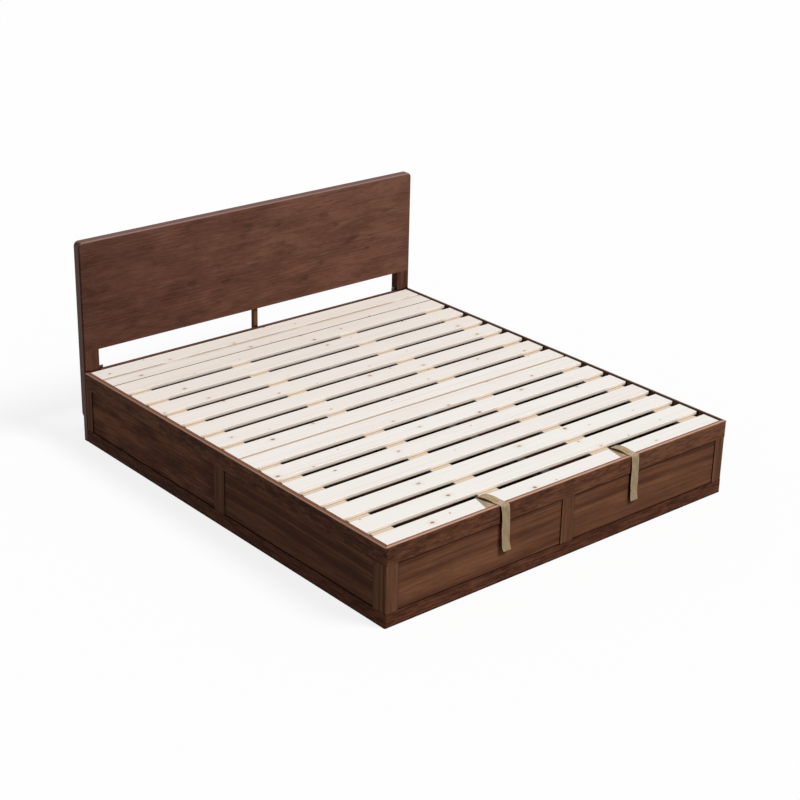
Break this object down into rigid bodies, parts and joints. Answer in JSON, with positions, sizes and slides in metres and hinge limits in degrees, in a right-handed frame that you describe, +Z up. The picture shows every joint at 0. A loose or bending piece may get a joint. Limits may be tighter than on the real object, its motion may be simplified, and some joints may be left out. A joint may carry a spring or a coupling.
{
  "type": "storage bed frame",
  "caption": "Storage bed frame with a slab headboard, framed box walls, a slatted deck that lifts at the foot on gas struts, and webbing pull straps.",
  "frame": {"origin": "centre of the bounding box on the floor", "axes": "+Y from the foot towards the headboard, +Z up, +X to the right seen from the foot"},
  "size_m": [1.85, 2.0964, 0.92],
  "materials": {
    "walnut": "satin lacquered dark brown timber",
    "pine": "planed pale pine with knots",
    "bearer_pine": "sawn pine",
    "storage_board": "dark brown faced board",
    "webbing": "woven khaki webbing",
    "lift_steel": "black powder coat",
    "strut_paint": "satin black paint",
    "strut_chrome": "ground and plated rod",
    "zinc_steel": "bright zinc plate"
  },
  "bodies": {
    "frame": {"center_divider": "storage_board", "corner_post_left": "walnut", "corner_post_right": "walnut", "deck_ledgers": "bearer_pine", "floor_battens": "bearer_pine", "foot_mid_stile": "walnut", "foot_panel_left": "walnut", "foot_panel_right": "walnut", "foot_plinth": "walnut", "foot_top_rail": "walnut", "head_post_left": "walnut", "head_post_right": "walnut", "head_slat_front": "pine", "head_slat_rear": "pine", "headboard_brackets": "zinc_steel", "headboard_center_post": "walnut", "headboard_leg_left": "walnut", "headboard_leg_right": "walnut", "headboard_panel": "walnut", "lift_base_plate_left": "zinc_steel", "lift_base_plate_right": "zinc_steel", "rear_board": "walnut", "side_mid_stile_left": "walnut", "side_mid_stile_right": "walnut", "side_panel_left_front": "walnut", "side_panel_left_rear": "walnut", "side_panel_right_front": "walnut", "side_panel_right_rear": "walnut", "side_plinth_left": "walnut", "side_plinth_right": "walnut", "side_top_rail_left": "walnut", "side_top_rail_right": "walnut", "storage_floor": "storage_board"},
    "deck": {"deck_slat_01": "pine", "deck_slat_02": "pine", "deck_slat_03": "pine", "deck_slat_04": "pine", "deck_slat_05": "pine", "deck_slat_06": "pine", "deck_slat_07": "pine", "deck_slat_08": "pine", "deck_slat_09": "pine", "deck_slat_10": "pine", "deck_slat_11": "pine", "deck_slat_12": "pine", "deck_slat_13": "pine", "deck_slat_14": "pine", "front_stringers": "pine", "rear_stringers": "pine", "lift_center_bar": "lift_steel", "lift_cross_bars": "lift_steel", "lift_angle_left": "lift_steel", "lift_angle_right": "lift_steel", "pull_strap_left": "webbing", "pull_strap_right": "webbing"},
    "strut_cylinder_left": {"strut_cylinder_left": "strut_paint"},
    "strut_rod_left": {"strut_rod_left": "strut_chrome"},
    "strut_cylinder_right": {"strut_cylinder_right": "strut_paint"},
    "strut_rod_right": {"strut_rod_right": "strut_chrome"}
  },
  "joints": [
    {"name": "deck_lift", "type": "hinge", "parent": "frame", "child": "deck", "pos_m": [0, 0.60725, 0.303], "axis": [-1, 0, 0], "range_deg": [0, 40]},
    {"name": "strut_foot_left", "type": "hinge", "parent": "frame", "child": "strut_cylinder_left", "pos_m": [-0.872, 0.46186, 0.08745], "axis": [-1, 0, 0], "range_deg": [0, 20]},
    {"name": "strut_head_left", "type": "hinge", "parent": "deck", "child": "strut_rod_left", "pos_m": [-0.872, 0.34867, 0.27582], "axis": [-1, 0, 0], "range_deg": [-20, 0]},
    {"name": "strut_foot_right", "type": "hinge", "parent": "frame", "child": "strut_cylinder_right", "pos_m": [0.872, 0.46186, 0.08745], "axis": [-1, 0, 0], "range_deg": [0, 20]},
    {"name": "strut_head_right", "type": "hinge", "parent": "deck", "child": "strut_rod_right", "pos_m": [0.872, 0.34867, 0.27582], "axis": [-1, 0, 0], "range_deg": [-20, 0]}
  ],
  "couplings": [
    {"joint": "strut_foot_left", "follows": "deck_lift", "ratio": 0.5},
    {"joint": "strut_head_left", "follows": "deck_lift", "ratio": -0.5},
    {"joint": "strut_foot_right", "follows": "deck_lift", "ratio": 0.5},
    {"joint": "strut_head_right", "follows": "deck_lift", "ratio": -0.5}
  ]
}
